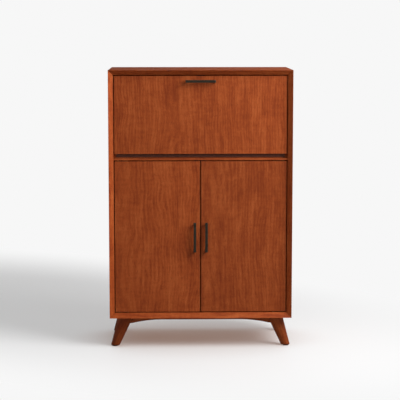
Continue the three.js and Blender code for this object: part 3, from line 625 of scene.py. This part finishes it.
# Pulls: square bronze bars on two posts. A round-headed screw through the wood, with its head
# inside, holds each post.
pull_screw_radius = 0.0042
pull_screw_height = 0.0022
pull_post_half = 0.005
pull_wear = 0.0005
bronze = uneven_metal("dark_bronze", (0.036, 0.030, 0.021), metallic=0.7, roughness=0.42, spread=0.08,
                      grains=70.0)
worn_bronze = uneven_metal("worn_bronze", (0.115, 0.082, 0.048), metallic=0.85, roughness=0.34,
                           spread=0.08, grains=200.0)


def worn(node, body, radius, plain, rubbed):
    """A node's own shape with every corner sharper than 30 degrees rounded a little and rubbed
    brighter by hands."""
    piece = link_piece(f"{node}_worn", merged_copy(node, f"{node}_worn"), [plain, rubbed], body)
    rounding = piece.modifiers.new("worn corners", "BEVEL")
    rounding.width = radius
    rounding.segments = 2
    rounding.limit_method = "ANGLE"
    rounding.angle_limit = math.radians(30.0)
    rounding.material = 1
    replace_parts(piece, node)


for pull, body, panel in (("flap_pull", "flap", "flap_panel"), ("left_door_pull", "left_door", "left_door"),
                          ("right_door_pull", "right_door", "right_door")):
    worn(pull, body, pull_wear, bronze, worn_bronze)
    pull_low, pull_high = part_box(pull)
    middle = (pull_low + pull_high) / 2
    inner_y = [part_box(panel)[1].y]
    if pull == "flap_pull":
        spots = crossing([pull_low.x + pull_post_half, pull_high.x - pull_post_half], inner_y, [middle.z])
    else:
        spots = crossing([middle.x], inner_y, [pull_low.z + pull_post_half, pull_high.z - pull_post_half])
    fasteners(f"{pull}_screws", spots, (0, 1, 0), pull_screw_radius, pull_screw_height, body,
              zinc)


# Catches: black nylon blocks with small magnets hang under the top board and under the rail,
# and a zinc strike plate on the flap and on each door meets them.
strike_screw_radius = 0.0022
catch_screw_radius = 0.0024
catch_screw_height = 0.0005
door_catch_reach = 0.0045
flap_catch_reach = 0.015
dress(nylon, "door_catch", "flap_catch")
for body in ("flap", "left_door", "right_door"):
    strike = f"{body}_strike"
    dress(zinc, strike)
    low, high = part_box(strike)
    middle = (low + high) / 2
    fasteners(f"{strike}_screw", [(middle.x, high.y, middle.z)], (0, 1, 0), strike_screw_radius,
              flush, body, zinc)
for catch, reach in (("door_catch", door_catch_reach), ("flap_catch", flap_catch_reach)):
    low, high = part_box(catch)
    spots = crossing([-reach, reach], [(low.y + high.y) / 2], [low.z])
    fasteners(f"{catch}_screws", spots, (0, 0, -1), catch_screw_radius, catch_screw_height, "root",
              zinc)


# Racks: three flanged rails under the top hold glasses by their feet, and two rows of scooped
# rails in the right cupboard carry lying bottles. All are solid stained wood.
grain_deep = (math.pi / 2, 0.0, log_turn)
rail_wood = stained_wood("rail_wood_deep", grain_deep, heart=(0.05, 0.02, 0.0))
dress(rail_wood, *(f"stemware_rail_{word}" for word in ("left", "middle", "right")))
dress(board_wood, *(f"bottle_{part}_rail_{row}" for part in ("neck", "body") for row in (1, 2)))


# Studio: a plain pale floor with painted shade, darker and warmer, close under the cabinet, that fades
# to white past an oval laid along the cabinet's shadow; one large soft lamp at the upper right of the
# front; and a surround that is dimmer overhead and lighter behind.
floor_reach = 40.0
floor_shown = 0.51
floor_lift = 0.394
painted_warm_shade = (0.44, 0.23, 0.145)
floor_bounced = (0.36, 0.36, 0.36)
paper_white = 0.93
mirrored_white = 0.38
lamp_way = np.array((0.64, -0.49, 0.59))
shadow_turn = math.atan2(-lamp_way[1], -lamp_way[0])
shadow_middle = (-0.75, 0.80, 0.0)
shadow_reach = (3.0, 1.5, 1.0)
fade_range = (0.35, 1.0)
crowded_within = 0.6
crowded_range = (0.30, 0.80)
overhead_range = (0.0, 0.4)
overhead_light = (2.1, 0.03)
behind_range = (0.0, 0.7)
behind_light = (1.0, 1.7)
floor_mesh = bpy.data.meshes.new("floor")
corners = [(-floor_reach, -floor_reach, 0.0), (floor_reach, -floor_reach, 0.0),
           (floor_reach, floor_reach, 0.0), (-floor_reach, floor_reach, 0.0)]
floor_mesh.from_pydata(corners, [], [(0, 1, 2, 3)])
floor_paper, floor_tree, floor_place = blank_material("floor_paper")
seen = shader(floor_tree, "ShaderNodeLightPath").outputs["Is Camera Ray"]
inputs = {
    "Vector": floor_place, "Location": shadow_middle, "Rotation": (0.0, 0.0, shadow_turn),
    "Scale": shadow_reach,
}
measured = shader(floor_tree, "ShaderNodeMapping", inputs, vector_type="TEXTURE").outputs[0]
length = shader(floor_tree, "ShaderNodeVectorMath", {0: measured}, operation="LENGTH").outputs["Value"]
inputs = {0: length, 1: fade_range[0], 2: fade_range[1]}
far = shader(floor_tree, "ShaderNodeMapRange", inputs, interpolation_type="SMOOTHSTEP").outputs[0]
# Painted shade: the floor's glow is darkened and warmed where the cabinet crowds it, by how much open sky
# each point sees.
inputs = {"Distance": crowded_within}
openness = shader(floor_tree, "ShaderNodeAmbientOcclusion", inputs, samples=16).outputs["AO"]
unshaded = stretch(floor_tree, openness, *crowded_range)
painted_floor_shade = tinted(floor_tree, unshaded, (*painted_warm_shade, 1.0), (1.0, 1.0, 1.0, 1.0))
paper = (floor_shown, floor_shown, floor_shown, 1.0)
inputs = {"Base Color": paper, "Roughness": 0.5, "Emission Color": painted_floor_shade, "Emission Strength": floor_lift}
near_floor = shader(floor_tree, "ShaderNodeBsdfPrincipled", inputs).outputs[0]
inputs = {"Color": (1, 1, 1, 1), "Strength": paper_white}
white = shader(floor_tree, "ShaderNodeEmission", inputs).outputs[0]
shown_floor = shader(floor_tree, "ShaderNodeMixShader", {0: far, 1: near_floor, 2: white}).outputs[0]
# Light from the floor reaches the cabinet as if the sheet were a darker matt grey.
matt = shader(floor_tree, "ShaderNodeBsdfDiffuse", {"Color": (*floor_bounced, 1.0)}).outputs[0]
floor_mix = shader(floor_tree, "ShaderNodeMixShader", {0: seen, 1: matt, 2: shown_floor}).outputs[0]
shader(floor_tree, "ShaderNodeOutputMaterial", {"Surface": floor_mix})
floor_mesh.materials.append(floor_paper)
floor = bpy.data.objects.new("floor", floor_mesh)
bpy.context.scene.collection.objects.link(floor)

# The surround shows white, and lacquer and metal mirror a darker one.
world = bpy.data.worlds.new("studio")
bpy.context.scene.world = world
world.use_nodes = True
sky = world.node_tree
sky.nodes.clear()
direction = shader(sky, "ShaderNodeTexCoord").outputs["Generated"]
way = shader(sky, "ShaderNodeSeparateXYZ", {0: direction}).outputs
overhead = stretch(sky, way["Z"], *overhead_range, *overhead_light)
behind = stretch(sky, way["Y"], *behind_range, *behind_light)
dim = worked(sky, "MULTIPLY", overhead, behind)
rays = shader(sky, "ShaderNodeLightPath").outputs
inputs = {0: rays["Is Glossy Ray"], 2: dim, 3: mirrored_white}
mirrored = shader(sky, "ShaderNodeMix", inputs, data_type="FLOAT").outputs[0]
shown = worked(sky, "MAXIMUM", rays["Is Camera Ray"], rays["Is Transmission Ray"])
inputs = {0: shown, 2: mirrored, 3: paper_white}
strength = shader(sky, "ShaderNodeMix", inputs, data_type="FLOAT").outputs[0]
inputs = {"Color": (1, 1, 1, 1), "Strength": strength}
surround = shader(sky, "ShaderNodeBackground", inputs).outputs[0]
shader(sky, "ShaderNodeOutputWorld", {"Surface": surround})

lamp_data = bpy.data.lights.new("soft_lamp", "AREA")
lamp_data.shape = "SQUARE"
lamp_data.size = 1.9
lamp_data.energy = 144.0
lamp = bpy.data.objects.new("soft_lamp", lamp_data)
bpy.context.scene.collection.objects.link(lamp)
lamp_target = np.array((0.0, 0.0, 0.75))
lamp_distance = 3.2
lamp_line = lamp_way / np.linalg.norm(lamp_way)
lamp.location = lamp_target + lamp_line * lamp_distance
elevation = math.asin(lamp_line[2])
bearing = math.atan2(lamp_line[0], -lamp_line[1])
lamp.rotation_euler = (math.pi / 2 - elevation, 0.0, bearing)

# The camera has the photograph's viewing angle, from further away and with less shift.
camera_data = bpy.data.cameras.new("camera")
camera_data.sensor_width = 36.0
camera_data.lens = 120.86
camera_data.shift_y = -0.045
camera_data.clip_end = 200.0
camera = bpy.data.objects.new("camera", camera_data)
bpy.context.scene.collection.objects.link(camera)
camera_side, camera_away, camera_height = -0.1254, 6.6163, 1.6383
camera_pitch, camera_yaw = 0.1195, 0.0184
camera.location = (camera_side, cad_low.y - camera_away, camera_height)
camera.rotation_euler = (math.pi / 2 - camera_pitch, 0.0, -camera_yaw)
bpy.context.scene.camera = camera
bpy.context.scene.view_settings.view_transform = "Standard"
